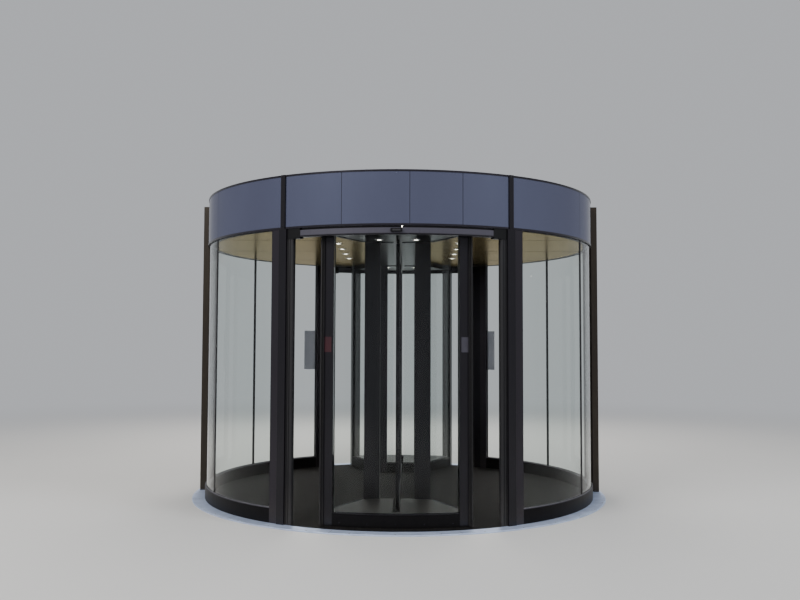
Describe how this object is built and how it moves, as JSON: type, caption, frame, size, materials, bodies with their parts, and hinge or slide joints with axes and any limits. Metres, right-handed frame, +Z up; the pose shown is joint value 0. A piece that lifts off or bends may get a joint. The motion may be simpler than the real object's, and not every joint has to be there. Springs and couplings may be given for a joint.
{
  "type": "two-wing revolving door",
  "caption": "Revolving door with a glazed drum, a deep curved canopy and a rotor that has a display case at each end and sliding leaves between them.",
  "frame": {"origin": "centre of the floor mat's underside, on the rotor's axis", "axes": "+Z up along the rotor's axis, -Y towards the street, +X to the right seen from the street"},
  "size_m": [3.8238, 3.8238, 2.716],
  "materials": {
    "dark_metal": "dark anodised, glossy",
    "stile_metal": "grey anodised, glossy",
    "canopy_panel": "high gloss, dark blue grey",
    "glass": "clear, polished",
    "floor_metal": "satin, light grey",
    "mat": "ribbed, matte",
    "ceiling": "satin white",
    "display_floor": "satin grey",
    "rubber": "matte black",
    "steel": "machined",
    "carcass": "primer grey",
    "light": "frosted lens",
    "sensor": "dark window"
  },
  "bodies": {
    "drum": {"floor_ring": "floor_metal", "floor_mat": "mat", "left_base_rails": "dark_metal", "right_base_rails": "dark_metal", "front_posts": "dark_metal", "rear_posts": "dark_metal", "wall_stiles": "stile_metal", "safety_edges": "rubber", "wall_mullions": "dark_metal", "left_wall_post": "dark_metal", "right_wall_post": "dark_metal", "left_wall_glass": "glass", "right_wall_glass": "glass", "canopy_frame": "carcass", "canopy_roof": "carcass", "canopy_trims": "dark_metal", "canopy_strips": "dark_metal", "front_fascia": "canopy_panel", "rear_fascia": "canopy_panel", "left_fascia": "canopy_panel", "right_fascia": "canopy_panel", "front_header": "dark_metal", "rear_header": "dark_metal", "header_sensors": "sensor", "drive_beam": "steel"},
    "rotor": {"rotor_ceiling": "ceiling", "downlights": "light", "spindle": "steel", "door_track": "dark_metal", "door_header": "dark_metal", "brush_seals": "rubber", "front_showcase_base": "dark_metal", "front_showcase_head": "dark_metal", "front_showcase_posts": "dark_metal", "front_showcase_front_glass": "glass", "front_showcase_side_glass": "glass", "rear_showcase_base": "dark_metal", "rear_showcase_head": "dark_metal", "rear_showcase_posts": "dark_metal", "rear_showcase_front_glass": "glass", "rear_showcase_side_glass": "glass", "showcase_floors": "display_floor"},
    "front_leaf": {"front_leaf_frame": "dark_metal", "front_leaf_glass": "glass"},
    "rear_leaf": {"rear_leaf_frame": "dark_metal", "rear_leaf_glass": "glass"}
  },
  "joints": [
    {"name": "rotor_spin", "type": "hinge", "parent": "drum", "child": "rotor", "pos_m": [0, 0, 2.37], "axis": [0, 0, 1], "continuous": true},
    {"name": "front_leaf_slide", "type": "slide", "parent": "rotor", "child": "front_leaf", "axis": [0, -1, 0], "range_m": [0, 0.6]},
    {"name": "rear_leaf_slide", "type": "slide", "parent": "rotor", "child": "rear_leaf", "axis": [0, 1, 0], "range_m": [0, 0.6]}
  ],
  "couplings": [
    {"joint": "rear_leaf_slide", "follows": "front_leaf_slide", "ratio": 1}
  ]
}
